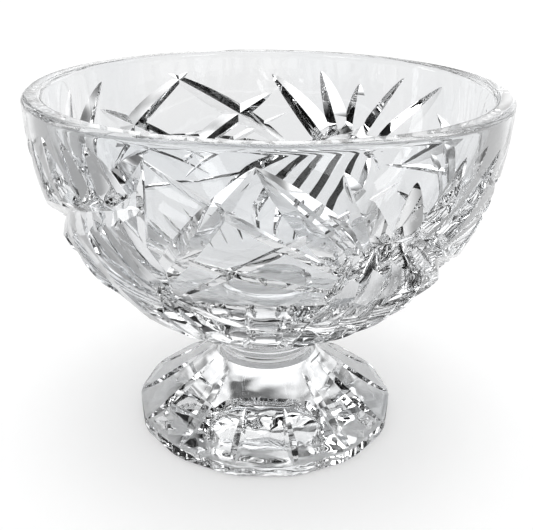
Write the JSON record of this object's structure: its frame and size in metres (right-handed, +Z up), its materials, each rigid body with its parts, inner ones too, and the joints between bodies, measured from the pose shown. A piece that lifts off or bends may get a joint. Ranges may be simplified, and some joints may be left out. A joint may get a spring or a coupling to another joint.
{
  "type": "compote dish",
  "caption": "Footed cut-crystal compote dish: a deep round bowl with cut fans and lattice on a short stem and a petal-edged foot",
  "frame": {"origin": "centre of the flat underside of the foot", "axes": "+Z up along the turning axis; -Y toward the viewer of the picture"},
  "size_m": [0.1518, 0.152, 0.118],
  "materials": {
    "bowl_crystal": "polished cut crystal",
    "stem_crystal": "polished crystal",
    "foot_crystal": "polished cut crystal"
  },
  "bodies": {
    "root": {"bowl": "bowl_crystal", "stem": "stem_crystal", "foot": "foot_crystal"}
  },
  "joints": []
}
